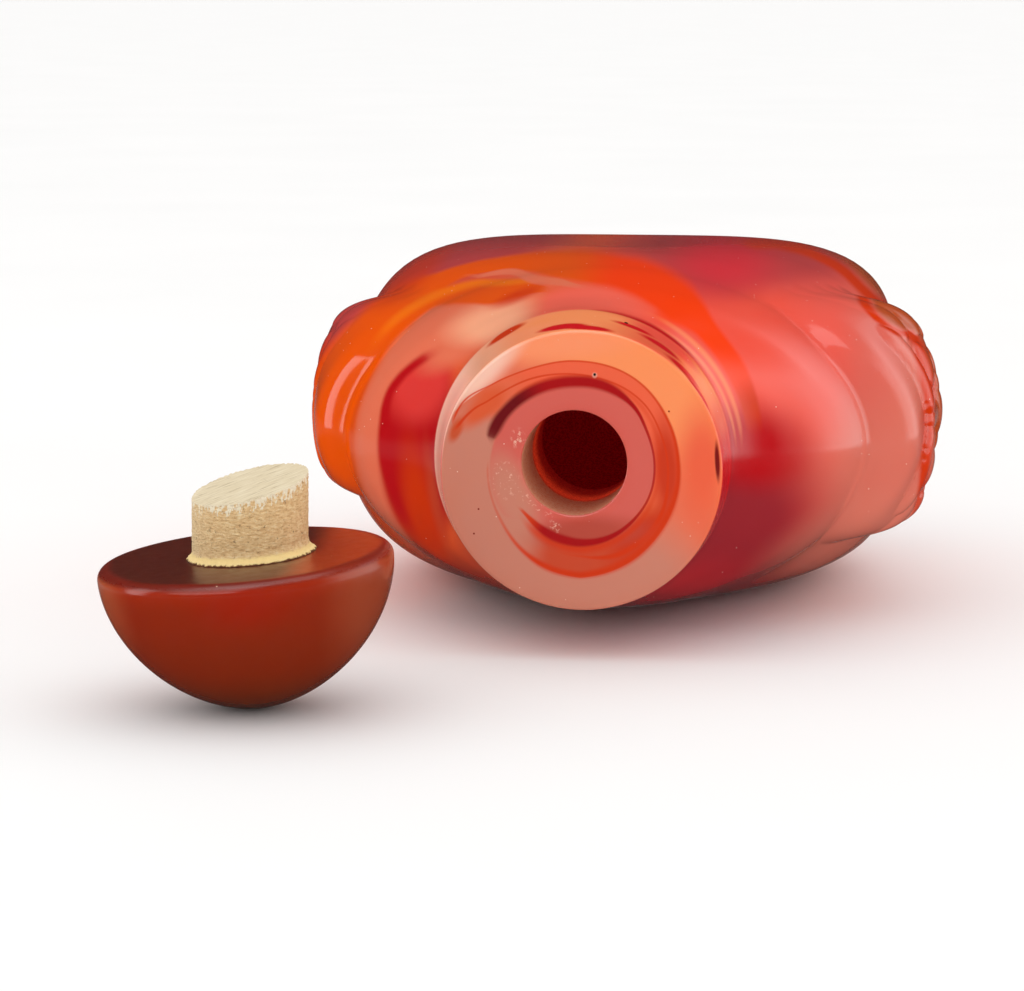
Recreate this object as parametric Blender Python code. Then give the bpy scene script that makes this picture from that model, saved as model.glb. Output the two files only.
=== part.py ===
"""A carved agate snuff bottle lying on one broad face, with its stopper off and set down beside it.

The bottle is one stone: a flattened rounded body, a straight neck with a flat lip, an oval foot, and a
lion mask holding a ring carved in relief on each shoulder. It is hollowed out through the neck. The
stopper is a domed cap with a cork glued under it, and it stands upside down on its dome.
"""

import math

import bmesh
import bpy
from mathutils import Matrix, Vector

MM = 0.001

# Body of the bottle, measured from the foot along its own axis
BODY_WIDTH = 39.3 * MM
BODY_THICKNESS = 24.9 * MM
BODY_HEIGHT = 51.2 * MM
FACE_CROWN = 0.1 * MM
FOOT_WIDTH = 22.6 * MM
FOOT_THICKNESS = 14.0 * MM
FOOT_HEIGHT = 1.6 * MM
FOOT_DRAFT = 0.1 * MM
FOOT_FILLET = 1.0 * MM
FOOT_EDGE = 0.25 * MM
FOOT_RIM = 1.9 * MM
FOOT_RECESS = 0.8 * MM
FOOT_RECESS_SLOPE = 0.6 * MM

# Neck, lip and hollow
NECK_RADIUS = 9.1 * MM
NECK_HEIGHT = 4.8 * MM
NECK_FLARE = 0.45 * MM
LIP_ROUND = 0.25 * MM
BORE_RADIUS = 3.4 * MM
BORE_LENGTH = 11.5 * MM
BORE_OFF_CENTRE = Vector((-0.45 * MM, 0.5 * MM))
WALL = 3.0 * MM
BASE_WALL = 5.0 * MM
HOLLOW_FLOOR_SHARE = 0.3
HOLLOW_FLOOR_WIDTH = 0.35
HOLLOW_ROOF_SHARE = 0.32

# Masks on the shoulders: the side that each is on, its half width, how far it sits off the middle of the
# bottle's thickness, how high it stands off the body, how much more its upper side stands off, how square
# its outline is, how full it is up to its edge, and how strongly its features are carved
MASKS = {
    "left": {
        "side": -1, "half_width": 7.2 * MM, "shift": 2.1 * MM, "rise": 1.19,
        "tilt": 0.26, "square": 3.8, "full": 3.6, "carved": 0.3,
    },
    "right": {
        "side": 1, "half_width": 8.7 * MM, "shift": 1.0 * MM, "rise": 1.57,
        "tilt": 0.1, "square": 5.6, "full": 3.05, "carved": 0.4,
    },
}
MASK_CENTRE = 34.6 * MM
MASK_ABOVE = 6.4 * MM
MASK_BELOW = 7.6 * MM
FACE_DROP = 2.6 * MM
FACE_SQUAT = 0.86
MASK_FILLET = 1.3
BOSS_RISE = 1.75 * MM
RING_DROP = 7.6 * MM
RING_RADIUS = 3.9 * MM
RING_BAR = 0.95 * MM
RING_RISE = 1.05 * MM

# Stopper: a domed cap a little smaller than the lip, and a cork that is squeezed into the bore
CAP_INSET = 0.15 * MM
CAP_DOME = 8.7 * MM
CAP_EDGE_ROUND = 0.7 * MM
CAP_FULLNESS = 1.8
CORK_SQUEEZE = 0.1 * MM
CORK_OFF_CENTRE = Vector((-0.4 * MM, 0.0))
CORK_LENGTH = 3.95 * MM
CORK_LEAN = math.radians(4.6)
CORK_SLANT = math.radians(10.5)
CORK_SLANT_TOWARDS = math.radians(-48)
CORK_FLARE = 0.45 * MM
GLUE_LINE = 0.3 * MM

# Where the stopper stands: in front of the lip and to its left, leaning left and a little forwards
STOPPER_BESIDE = 18.6 * MM
STOPPER_BEFORE = 7.4 * MM
STOPPER_LEAN = math.radians(4.3)
STOPPER_NOD = math.radians(2.2)

# Mesh density
SIDE_COLUMNS = 22
FACE_COLUMNS = 12
SIDE_SPAN = math.radians(29)
MASK_ROW = 0.75 * MM
LOWER_ROWS = 7
UPPER_ROWS = 6
CAP_SEGMENTS = 44
CAP_ROWS = 12
CORK_SEGMENTS = 32
HOLLOW_SEGMENTS = 28
HOLLOW_ROWS = 13

HEIGHT = BODY_HEIGHT + NECK_HEIGHT
FOOT_TOP = FOOT_HEIGHT + FOOT_FILLET
NECK_ROOT = NECK_RADIUS + NECK_FLARE
CAP_RADIUS = NECK_RADIUS - CAP_INSET


def clear_scene():
    for thing in list(bpy.data.objects):
        bpy.data.objects.remove(thing, do_unlink=True)


def stone(name, colour, roughness):
    material = bpy.data.materials.new(name)
    material.use_nodes = True
    shader = material.node_tree.nodes["Principled BSDF"]
    shader.inputs["Base Color"].default_value = (*colour, 1.0)
    shader.inputs["Roughness"].default_value = roughness
    shader.inputs["Metallic"].default_value = 0.0
    material.diffuse_color = (*colour, 1.0)
    return material


def smooth_step(edge_0, edge_1, value):
    share = min(1.0, max(0.0, (value - edge_0) / (edge_1 - edge_0)))
    return share * share * (3 - 2 * share)


def round_off(share):
    """Width of a quarter circle at a share of the way up from its pole, and 1 beyond it."""
    return math.sqrt(1 - (1 - min(1.0, max(0.0, share))) ** 2)


def smooth_curve(points):
    """A function through (position, value) points that rises and falls only where they do."""
    places = [p for p, _ in points]
    values = [v for _, v in points]
    slopes = [(b - a) / (q - p) for p, q, a, b in zip(places, places[1:], values, values[1:])]
    tangents = [slopes[0]]
    for before, after in zip(slopes, slopes[1:]):
        level = before * after <= 0
        tangents.append(0.0 if level else 2 * before * after / (before + after))
    tangents.append(slopes[-1])

    def value_at(place):
        place = min(max(place, places[0]), places[-1])
        i = max(k for k in range(len(slopes)) if places[k] <= place)
        span = places[i + 1] - places[i]
        t = (place - places[i]) / span
        return (
            values[i] * (1 + 2 * t) * (1 - t) ** 2
            + tangents[i] * span * t * (1 - t) ** 2
            + values[i + 1] * t * t * (3 - 2 * t)
            + tangents[i + 1] * span * t * t * (t - 1)
        )

    return value_at


def body_curves():
    """Half width, half thickness and squareness of the bottle's section at each height."""
    half_width = BODY_WIDTH / 2
    half_thickness = BODY_THICKNESS / 2 + FACE_CROWN
    rise = BODY_HEIGHT - FOOT_TOP
    # Share of the body's height, then how far the section has grown from the foot to the widest place
    lower = [(0.07, 0.56), (0.19, 0.83), (0.35, 0.975), (0.5, 1.0)]
    # The same from the widest place to the neck's root, which is fuller across than through
    across = [(0.65, 0.965), (0.77, 0.862), (0.86, 0.655), (0.93, 0.315), (0.97, 0.1)]
    through = [(0.65, 0.93), (0.77, 0.72), (0.86, 0.44), (0.93, 0.17), (0.97, 0.06)]

    def outline(foot, widest, upper):
        points = [(0.0, foot), (FOOT_HEIGHT, foot + FOOT_DRAFT), (FOOT_TOP, foot + FOOT_FILLET)]
        points += [(FOOT_TOP + h * rise, foot + g * (widest - foot)) for h, g in lower]
        points += [(FOOT_TOP + h * rise, NECK_ROOT + g * (widest - NECK_ROOT)) for h, g in upper]
        points += [(BODY_HEIGHT, NECK_ROOT), (HEIGHT - LIP_ROUND, NECK_RADIUS)]
        return smooth_curve(points)

    squareness = smooth_curve(
        [(0.0, 2.3), (FOOT_HEIGHT, 2.4), (0.16 * HEIGHT, 4.0), (0.33 * HEIGHT, 4.1)]
        + [(0.52 * HEIGHT, 3.0), (0.71 * HEIGHT, 1.9), (BODY_HEIGHT, 2.0), (HEIGHT, 2.0)]
    )
    return (
        outline(FOOT_WIDTH / 2, half_width, across),
        outline(FOOT_THICKNESS / 2, half_thickness, through),
        squareness,
    )


def oval(half_width, half_thickness, squareness, angle):
    """A point of a section between an ellipse and a rounded rectangle, in the direction of an angle."""
    across, through = math.cos(angle), math.sin(angle)
    reach = (abs(across) ** squareness + abs(through) ** squareness) ** (-1 / squareness)
    return Vector((half_width * across * reach, half_thickness * through * reach))


def column_angles():
    """Directions round the bottle, close together on the two sides where the masks are."""
    angles = []
    for middle in (0.0, math.pi):
        step = 2 * SIDE_SPAN / SIDE_COLUMNS
        angles += [middle - SIDE_SPAN + k * step for k in range(SIDE_COLUMNS)]
        step = (math.pi - 2 * SIDE_SPAN) / FACE_COLUMNS
        angles += [middle + SIDE_SPAN + k * step for k in range(FACE_COLUMNS)]
    return angles


def dome(point, centre, radius, height):
    share = 1 - ((point[0] - centre[0]) ** 2 + (point[1] - centre[1]) ** 2) / radius**2
    return height * math.sqrt(share) if share > 0 else 0.0


def ridge(point, start, end, radius, height):
    """A rounded bar from start to end."""
    along = (end[0] - start[0], end[1] - start[1])
    length_2 = along[0] ** 2 + along[1] ** 2
    t = ((point[0] - start[0]) * along[0] + (point[1] - start[1]) * along[1]) / length_2
    t = min(1.0, max(0.0, t))
    nearest = (start[0] + t * along[0], start[1] + t * along[1])
    return dome(point, nearest, radius, height)


def lion_face(across, up):
    """Height of the features of the mask, in units of its half width, with up towards the mouth."""
    p = (abs(across), up)
    return max(
        ridge(p, (0.15, 0.38), (0.62, 0.52), 0.14, 0.09),
        dome(p, (0.40, 0.13), 0.19, 0.09),
        ridge(p, (0.0, 0.36), (0.0, -0.15), 0.13, 0.08),
        dome(p, (0.0, -0.22), 0.22, 0.12),
        dome(p, (0.20, -0.27), 0.14, 0.08),
        dome(p, (0.30, -0.52), 0.26, 0.09),
        dome(p, (0.80, 0.30), 0.18, 0.07),
        dome(p, (0.82, -0.08), 0.19, 0.07),
        dome(p, (0.74, -0.44), 0.18, 0.07),
    )


def relief(mask, through, height):
    """How far a mask and its ring stand off the body, at a place across its thickness and height."""
    half = mask["half_width"]
    v = through - mask["shift"]
    w = height - MASK_CENTRE
    reach = MASK_ABOVE if w > 0 else MASK_BELOW
    edge = abs(v / half) ** mask["square"] + abs(w / reach) ** 2.4
    boss = 0.0
    if edge < 1:
        carved = lion_face(v / half, (w + FACE_DROP) / half / FACE_SQUAT) * smooth_step(1.0, 0.72, edge)
        boss = BOSS_RISE * (1 - edge ** mask["full"]) ** MASK_FILLET * (1 + mask["tilt"] * v / half)
        boss += mask["carved"] * half * carved
    from_middle = math.hypot(v, w + RING_DROP)
    band = 1 - ((from_middle - RING_RADIUS) / RING_BAR) ** 2
    ring = RING_RISE * math.sqrt(band) if band > 0 else 0.0
    return mask["rise"] * max(boss, ring)


def row_heights():
    """Heights of the rings of the bottle's outside, close together across the masks."""
    low = MASK_CENTRE - RING_DROP - RING_RADIUS - RING_BAR
    high = MASK_CENTRE + MASK_ABOVE
    count = round((high - low) / MASK_ROW)
    heights = [FOOT_HEIGHT / 2, FOOT_HEIGHT, FOOT_TOP]
    # The rows start close together above the foot, where the body swells fastest
    heights += [FOOT_TOP + (low - FOOT_TOP) * (k / LOWER_ROWS) ** 1.25 for k in range(1, LOWER_ROWS)]
    heights += [low + (high - low) * k / count for k in range(count + 1)]
    heights += [high + (BODY_HEIGHT - high) * k / UPPER_ROWS for k in range(1, UPPER_ROWS + 1)]
    return heights + [BODY_HEIGHT + NECK_HEIGHT / 2, HEIGHT - LIP_ROUND]


def bottle_rings():
    """Closed rings of points, from the recess under the foot to the edge of the flat lip."""
    width_at, thickness_at, squareness_at = body_curves()
    angles = column_angles()
    most = BODY_THICKNESS / 2

    def ring(height, inward=0.0, level=None):
        level = height if level is None else level
        sizes = (width_at(height) - inward, thickness_at(height) - inward, squareness_at(height))
        points = []
        for angle in angles:
            x, y = oval(*sizes, angle)
            y = min(most, max(-most, y))
            for mask in MASKS.values():
                if x * mask["side"] > 0 and level > 0:
                    x += mask["side"] * relief(mask, y, height)
            points.append(Vector((x, y, level)))
        return points

    rings = [ring(0.0, FOOT_RIM + FOOT_RECESS_SLOPE, FOOT_RECESS), ring(0.0, FOOT_RIM, 0.0)]
    rings += [ring(0.0, FOOT_EDGE, 0.0), ring(0.0, 0.0, FOOT_EDGE)]
    rings += [ring(height) for height in row_heights()]
    turned = LIP_ROUND * (1 - math.sqrt(0.5))
    rings.append(ring(HEIGHT - LIP_ROUND, turned, HEIGHT - turned))
    rings.append(ring(HEIGHT - LIP_ROUND, LIP_ROUND, HEIGHT))
    return rings


def skin(name, rings):
    """A solid through a stack of rings of equal count, closed flat at both ends."""
    mesh = bpy.data.meshes.new(name)
    bm = bmesh.new()
    stacked = [[bm.verts.new(point) for point in ring] for ring in rings]
    for below, above in zip(stacked, stacked[1:]):
        for k in range(len(below)):
            n = (k + 1) % len(below)
            bm.faces.new((below[k], below[n], above[n], above[k]))
    bm.faces.new(reversed(stacked[0]))
    bm.faces.new(stacked[-1])
    bmesh.ops.recalc_face_normals(bm, faces=bm.faces)
    bm.to_mesh(mesh)
    bm.free()
    mesh.shade_smooth()
    mesh.set_sharp_from_angle(angle=math.radians(40))
    thing = bpy.data.objects.new(name, mesh)
    bpy.context.scene.collection.objects.link(thing)
    return thing


def circle(radius, height, segments, centre=(0.0, 0.0)):
    angles = [2 * math.pi * k / segments for k in range(segments)]
    return [
        Vector((centre[0] + radius * math.cos(a), centre[1] + radius * math.sin(a), height))
        for a in angles
    ]


def hollow_rings():
    """The space inside: the bore down the neck, then a cavity that keeps a wall inside the body."""
    width_at, thickness_at, squareness_at = body_curves()
    floor = FOOT_RECESS + BASE_WALL
    roof = HEIGHT - BORE_LENGTH
    rings = []
    for k in range(HOLLOW_ROWS + 1):
        share = (1 - math.cos(math.pi * k / HOLLOW_ROWS)) / 2
        height = floor + (roof - floor) * share
        # The cavity rounds off at its floor and closes in on the bore at its roof
        at_floor = round_off(share / HOLLOW_FLOOR_SHARE)
        at_roof = round_off((1 - share) / HOLLOW_ROOF_SHARE)
        grown = HOLLOW_FLOOR_WIDTH + (1 - HOLLOW_FLOOR_WIDTH) * at_floor
        sizes = ((width_at(height) - WALL) * grown, (thickness_at(height) - WALL) * grown)
        ring = circle(BORE_RADIUS, height, HOLLOW_SEGMENTS, BORE_OFF_CENTRE)
        for segment, point in enumerate(ring):
            angle = 2 * math.pi * segment / HOLLOW_SEGMENTS
            point.xy = point.xy.lerp(oval(*sizes, squareness_at(height), angle), at_roof)
        rings.append(ring)
    above_lip = 2.0 * MM
    rings.append(circle(BORE_RADIUS, HEIGHT + above_lip, HOLLOW_SEGMENTS, BORE_OFF_CENTRE))
    return rings


def make_bottle(root):
    bottle = skin("bottle", bottle_rings())
    hollow = skin("hollow_cutter", hollow_rings())
    for thing in (bottle, hollow):
        thing.parent = root
        # The mouth faces the front, and one broad face is down on the floor
        thing.rotation_euler = (math.radians(90), 0, 0)
        thing.location = (0, HEIGHT, BODY_THICKNESS / 2)
    hollow.hide_render = True
    hollow.display_type = "WIRE"
    cut = bottle.modifiers.new("hollow", "BOOLEAN")
    cut.operation = "DIFFERENCE"
    cut.solver = "EXACT"
    cut.object = hollow
    bottle.data.materials.append(stone("banded_agate", (0.72, 0.16, 0.06), 0.12))
    return bottle


def cap_rings():
    """Rings of the cap with its flat underside at height 0 and its dome up."""
    radius = CAP_RADIUS
    rings = [circle(radius - CAP_EDGE_ROUND, 0.0, CAP_SEGMENTS)]
    for degrees in (45, 90):
        turn = math.radians(degrees)
        out = CAP_EDGE_ROUND * (1 - math.sin(turn))
        rings.append(circle(radius - out, CAP_EDGE_ROUND * (1 - math.cos(turn)), CAP_SEGMENTS))
    for k in range(1, CAP_ROWS):
        turn = math.radians(90 * k / CAP_ROWS)
        out = math.cos(turn) ** (2 / CAP_FULLNESS)
        up = math.sin(turn) ** (2 / CAP_FULLNESS)
        rings.append(circle(radius * out, CAP_EDGE_ROUND + CAP_DOME * up, CAP_SEGMENTS))
    return rings


def cork_rings():
    """Rings of the cork: cut on the slant at its free end, and flared where it is glued to the cap."""
    radius = BORE_RADIUS + CORK_SQUEEZE
    glued = circle(radius + CORK_FLARE, -GLUE_LINE, CORK_SEGMENTS, CORK_OFF_CENTRE)
    waist = circle(radius, -GLUE_LINE - CORK_FLARE, CORK_SEGMENTS, CORK_OFF_CENTRE)
    low_side = Vector((math.cos(CORK_SLANT_TOWARDS), math.sin(CORK_SLANT_TOWARDS)))
    free = []
    for point in waist:
        length = CORK_LENGTH - math.tan(CORK_SLANT) * low_side.dot(point.xy - CORK_OFF_CENTRE)
        free.append(Vector((point.x - math.tan(CORK_LEAN) * length, point.y, -GLUE_LINE - length)))
    return [free, waist, glued]


def make_stopper(root):
    cap = skin("stopper_cap", cap_rings())
    cap.data.materials.append(stone("dark_agate", (0.33, 0.06, 0.03), 0.12))
    cork = skin("stopper_cork", cork_rings())
    cork.data.materials.append(stone("cork", (0.72, 0.62, 0.44), 0.85))
    cork.parent = cap
    cap.parent = root
    upside_down = Matrix.Rotation(math.radians(180), 3, "Y")
    turn = Matrix.Rotation(-STOPPER_LEAN, 3, "Y") @ Matrix.Rotation(STOPPER_NOD, 3, "X") @ upside_down
    lowest = min((turn @ vertex.co).z for vertex in cap.data.vertices)
    cap.rotation_euler = turn.to_euler()
    cap.location = (-STOPPER_BESIDE, -CAP_RADIUS - STOPPER_BEFORE, -lowest)
    return cap, cork


def centre_on_floor(root, pieces):
    """Moves the whole so that the middle of its bounding box stands over the origin."""
    bpy.context.view_layer.update()
    corners = [piece.matrix_world @ vertex.co for piece in pieces for vertex in piece.data.vertices]
    for axis in (0, 1):
        values = [corner[axis] for corner in corners]
        root.location[axis] -= (min(values) + max(values)) / 2


def main():
    clear_scene()
    root = bpy.data.objects.new("snuff_bottle", None)
    bpy.context.scene.collection.objects.link(root)
    bottle = make_bottle(root)
    cap, cork = make_stopper(root)
    centre_on_floor(root, (bottle, cap, cork))


main()
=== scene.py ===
"""The looks of a carved agate snuff bottle and its stopper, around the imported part.

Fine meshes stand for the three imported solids: the bottle with its masks, the domed cap and the cork. Every
colour is worked out by nodes from the place in the stone, so bands run through it and round its edges.
"""

import math

import bpy
import numpy as np
from mathutils import Matrix, Vector


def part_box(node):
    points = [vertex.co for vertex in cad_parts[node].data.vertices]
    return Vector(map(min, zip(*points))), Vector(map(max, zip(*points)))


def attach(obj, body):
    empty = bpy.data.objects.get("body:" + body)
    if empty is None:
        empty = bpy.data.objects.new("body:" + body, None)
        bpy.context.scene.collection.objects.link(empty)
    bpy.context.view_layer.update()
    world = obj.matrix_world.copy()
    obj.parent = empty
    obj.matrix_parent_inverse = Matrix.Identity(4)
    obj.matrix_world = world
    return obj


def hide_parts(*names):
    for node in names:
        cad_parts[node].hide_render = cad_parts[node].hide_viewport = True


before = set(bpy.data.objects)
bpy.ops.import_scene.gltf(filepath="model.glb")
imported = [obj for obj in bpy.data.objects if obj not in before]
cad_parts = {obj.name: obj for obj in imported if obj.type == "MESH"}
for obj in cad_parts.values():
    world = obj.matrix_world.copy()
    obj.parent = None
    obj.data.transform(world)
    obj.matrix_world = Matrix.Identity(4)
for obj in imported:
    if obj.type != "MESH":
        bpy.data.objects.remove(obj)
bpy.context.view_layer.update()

MM = 0.001

# The photograph's frame, in pixels, and where the middle of the lip falls in it
FRAME_WIDTH = 1024
FRAME_HEIGHT = 991
LIP_AT = (581, 471)
PIXELS_PER_MM = 15.61

# The camera: how far it is from the lip, and the angles that it looks along
CAMERA_DISTANCE = 221 * MM
CAMERA_AZIMUTH = math.radians(7.2)
CAMERA_DOWN = math.radians(8.6)

# Sizes of the bottle that its box doesn't give
BODY_WIDTH = 39.3 * MM
FACE_CROWN = 0.1 * MM
FOOT_WIDTH = 22.6 * MM
FOOT_THICKNESS = 14.0 * MM
FOOT_HEIGHT = 1.6 * MM
FOOT_DRAFT = 0.1 * MM
FOOT_FILLET = 1.0 * MM
FOOT_EDGE = 0.25 * MM
FOOT_RIM = 1.9 * MM
FOOT_RIM_BREAK = 0.1 * MM
FOOT_RECESS = 0.8 * MM
FOOT_RECESS_SLOPE = 0.6 * MM
NECK_RADIUS = 9.1 * MM
NECK_HEIGHT = 4.8 * MM
NECK_FLARE = 0.65 * MM
NECK_SWAY = np.array((-0.45 * MM, 0.15 * MM))
NECK_SWAY_BELOW = 7.0 * MM
LIP_ROUND = 0.25 * MM
BORE_RADIUS = 3.4 * MM
BORE_LENGTH = 11.5 * MM
BORE_OFF_CENTRE = (-0.45 * MM, 0.5 * MM)
WALL = 3.0 * MM
BASE_WALL = 5.0 * MM
HOLLOW_FLOOR_SHARE = 0.3
HOLLOW_FLOOR_WIDTH = 0.35
HOLLOW_ROOF_SHARE = 0.32

# Masks: side, half width, offset through the thickness, how high each stands, how much more its upper side
# stands, how square its outline is, how full it is up to its edge, and how strongly its features are carved
MASKS = (
    {
        "side": -1, "half_width": 7.2 * MM, "shift": 2.1 * MM, "rise": 1.18,
        "tilt": 0.26, "square": 4.1, "full": 3.7, "carved": 0.3,
    },
    {
        "side": 1, "half_width": 8.7 * MM, "shift": 1.0 * MM, "rise": 1.56,
        "tilt": 0.1, "square": 6.0, "full": 3.4, "carved": 0.4,
    },
)
MASK_CENTRE = 34.6 * MM
MASK_ABOVE = 6.4 * MM
MASK_BELOW = 7.6 * MM
FACE_DROP = 2.6 * MM
FACE_SQUAT = 0.86
MASK_FILLET = 1.6
BOSS_RISE = 1.75 * MM
RING_DROP = 7.6 * MM
RING_RADIUS = 3.9 * MM
RING_BAR = 0.95 * MM
RING_RISE = 1.05 * MM

# Stopper
CAP_INSET = 0.15 * MM
CAP_DOME = 8.7 * MM
CAP_EDGE_ROUND = 0.7 * MM
CAP_FULLNESS = 1.8
CORK_SQUEEZE = 0.1 * MM
CORK_OFF_CENTRE = (-0.4 * MM, 0.0)
CORK_LENGTH = 3.95 * MM
CORK_LEAN = math.radians(4.6)
CORK_SLANT = math.radians(10.5)
CORK_SLANT_TOWARDS = math.radians(-48)
CORK_FLARE = 0.45 * MM
GLUE_LINE = 0.3 * MM
STOPPER_BESIDE = 18.6 * MM
STOPPER_BEFORE = 7.4 * MM
STOPPER_LEAN = math.radians(4.3)
STOPPER_NOD = math.radians(2.2)

# Columns round the bottle and rows along it
SIDE_COLUMNS = 150
FACE_COLUMNS = 44
SIDE_SPAN = math.radians(41)
MASK_ROWS = 104

bottle_low, bottle_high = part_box("bottle")
HEIGHT = bottle_high.y - bottle_low.y
BODY_THICKNESS = bottle_high.z - bottle_low.z
BODY_HEIGHT = HEIGHT - NECK_HEIGHT
NECK_ROOT = NECK_RADIUS + NECK_FLARE
FOOT_TOP = FOOT_HEIGHT + FOOT_FILLET
CAP_RADIUS = NECK_RADIUS - CAP_INSET


def lip_centre():
    """The middle of the lip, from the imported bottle's points in the plane of its mouth."""
    points = [v.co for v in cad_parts["bottle"].data.vertices if v.co.y < bottle_low.y + 0.01 * MM]
    across = [p.x for p in points]
    up = [p.z for p in points]
    return Vector(((min(across) + max(across)) / 2, bottle_low.y, (min(up) + max(up)) / 2))


LIP = lip_centre()


def smooth_curve(points):
    """A function through (position, value) points that rises and falls only where they do."""
    places = [p for p, _ in points]
    values = [v for _, v in points]
    slopes = [(b - a) / (q - p) for p, q, a, b in zip(places, places[1:], values, values[1:])]
    tangents = [slopes[0]]
    for before, after in zip(slopes, slopes[1:]):
        level = before * after <= 0
        tangents.append(0.0 if level else 2 * before * after / (before + after))
    tangents.append(slopes[-1])

    def value_at(place):
        place = min(max(place, places[0]), places[-1])
        i = max(k for k in range(len(slopes)) if places[k] <= place)
        span = places[i + 1] - places[i]
        t = (place - places[i]) / span
        return (
            values[i] * (1 + 2 * t) * (1 - t) ** 2
            + tangents[i] * span * t * (1 - t) ** 2
            + values[i + 1] * t * t * (3 - 2 * t)
            + tangents[i + 1] * span * t * t * (t - 1)
        )

    return value_at


def body_curves():
    """Half width, half thickness and squareness of the bottle's section at each height."""
    half_width = BODY_WIDTH / 2
    half_thickness = BODY_THICKNESS / 2 + FACE_CROWN
    rise = BODY_HEIGHT - FOOT_TOP
    lower = [(0.07, 0.56), (0.19, 0.83), (0.35, 0.975), (0.5, 1.0)]
    across = [(0.65, 0.965), (0.77, 0.862), (0.86, 0.655), (0.93, 0.315), (0.97, 0.1)]
    through = [(0.65, 0.93), (0.77, 0.72), (0.86, 0.44), (0.93, 0.17), (0.97, 0.06)]

    def outline(foot, widest, upper):
        points = [(0.0, foot), (FOOT_HEIGHT, foot + FOOT_DRAFT), (FOOT_TOP, foot + FOOT_FILLET)]
        points += [(FOOT_TOP + h * rise, foot + g * (widest - foot)) for h, g in lower]
        points += [(FOOT_TOP + h * rise, NECK_ROOT + g * (widest - NECK_ROOT)) for h, g in upper]
        points += [(BODY_HEIGHT, NECK_ROOT), (HEIGHT - LIP_ROUND, NECK_RADIUS)]
        return smooth_curve(points)

    squareness = smooth_curve(
        [(0.0, 2.3), (FOOT_HEIGHT, 2.4), (0.16 * HEIGHT, 4.0), (0.33 * HEIGHT, 4.1)]
        + [(0.52 * HEIGHT, 3.0), (0.71 * HEIGHT, 1.9), (BODY_HEIGHT, 2.0), (HEIGHT, 2.0)]
    )
    return (
        outline(FOOT_WIDTH / 2, half_width, across),
        outline(FOOT_THICKNESS / 2, half_thickness, through),
        squareness,
    )


WIDTH_AT, THICKNESS_AT, SQUARENESS_AT = body_curves()


def oval(half_width, half_thickness, squareness, angles):
    """Points of a section between an ellipse and a rounded rectangle, in the direction of each angle."""
    across, through = np.cos(angles), np.sin(angles)
    reach = (np.abs(across) ** squareness + np.abs(through) ** squareness) ** (-1 / squareness)
    return np.stack([half_width * across * reach, half_thickness * through * reach], axis=1)


def column_angles():
    """Directions round the bottle, close together on the two sides where the masks are."""
    angles = []
    for middle in (0.0, math.pi):
        step = 2 * SIDE_SPAN / SIDE_COLUMNS
        angles += [middle - SIDE_SPAN + k * step for k in range(SIDE_COLUMNS)]
        step = (math.pi - 2 * SIDE_SPAN) / FACE_COLUMNS
        angles += [middle + SIDE_SPAN + k * step for k in range(FACE_COLUMNS)]
    return np.array(angles)


COLUMNS = column_angles()


def bump(p, q, centre, radius, height):
    """A round-topped bump, over arrays of places across (p) and up (q)."""
    share = 1 - ((p - centre[0]) ** 2 + (q - centre[1]) ** 2) / radius**2
    return height * np.sqrt(np.clip(share, 0, None))


def ridge(p, q, start, end, radius, height):
    """A rounded bar from start to end."""
    along = (end[0] - start[0], end[1] - start[1])
    t = ((p - start[0]) * along[0] + (q - start[1]) * along[1]) / (along[0] ** 2 + along[1] ** 2)
    t = np.clip(t, 0, 1)
    return bump(p, q, (start[0] + t * along[0], start[1] + t * along[1]), radius, height)


def smooth_step(edge_0, edge_1, value):
    share = np.clip((value - edge_0) / (edge_1 - edge_0), 0, 1)
    return share * share * (3 - 2 * share)


def lion_face(across, up):
    """Height of the features of the mask, in units of its half width, with up towards the mouth."""
    p = np.abs(across)
    features = (
        ridge(p, up, (0.15, 0.38), (0.62, 0.52), 0.14, 0.09),
        bump(p, up, (0.40, 0.13), 0.19, 0.09),
        ridge(p, up, (0.0, 0.36), (0.0, -0.15), 0.13, 0.08),
        bump(p, up, (0.0, -0.22), 0.22, 0.12),
        bump(p, up, (0.20, -0.27), 0.14, 0.08),
        bump(p, up, (0.30, -0.52), 0.26, 0.09),
        bump(p, up, (0.80, 0.30), 0.18, 0.07),
        bump(p, up, (0.82, -0.08), 0.19, 0.07),
        bump(p, up, (0.74, -0.44), 0.18, 0.07),
    )
    return np.maximum.reduce(features)


def relief(mask, through, height):
    """How far a mask and its ring stand off the body, over an array of places across its thickness."""
    half = mask["half_width"]
    v = through - mask["shift"]
    w = height - MASK_CENTRE
    reach = MASK_ABOVE if w > 0 else MASK_BELOW
    edge = np.abs(v / half) ** mask["square"] + abs(w / reach) ** 2.4
    boss = BOSS_RISE * (1 - np.minimum(edge, 1) ** mask["full"]) ** MASK_FILLET
    boss *= 1 + mask["tilt"] * v / half
    carved = lion_face(v / half, (w + FACE_DROP) / half / FACE_SQUAT) * smooth_step(1.0, 0.72, edge)
    boss += mask["carved"] * half * carved
    band = 1 - ((np.hypot(v, w + RING_DROP) - RING_RADIUS) / RING_BAR) ** 2
    ring = RING_RISE * np.sqrt(np.clip(band, 0, None))
    return mask["rise"] * np.maximum(boss, ring)


def neck_sway(height):
    """How much of the neck's sway there is: none at the lip, all at its root and none below the shoulder."""
    if height > BODY_HEIGHT:
        return (HEIGHT - height) / NECK_HEIGHT
    return smooth_step(BODY_HEIGHT - NECK_SWAY_BELOW, BODY_HEIGHT, height)


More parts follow.
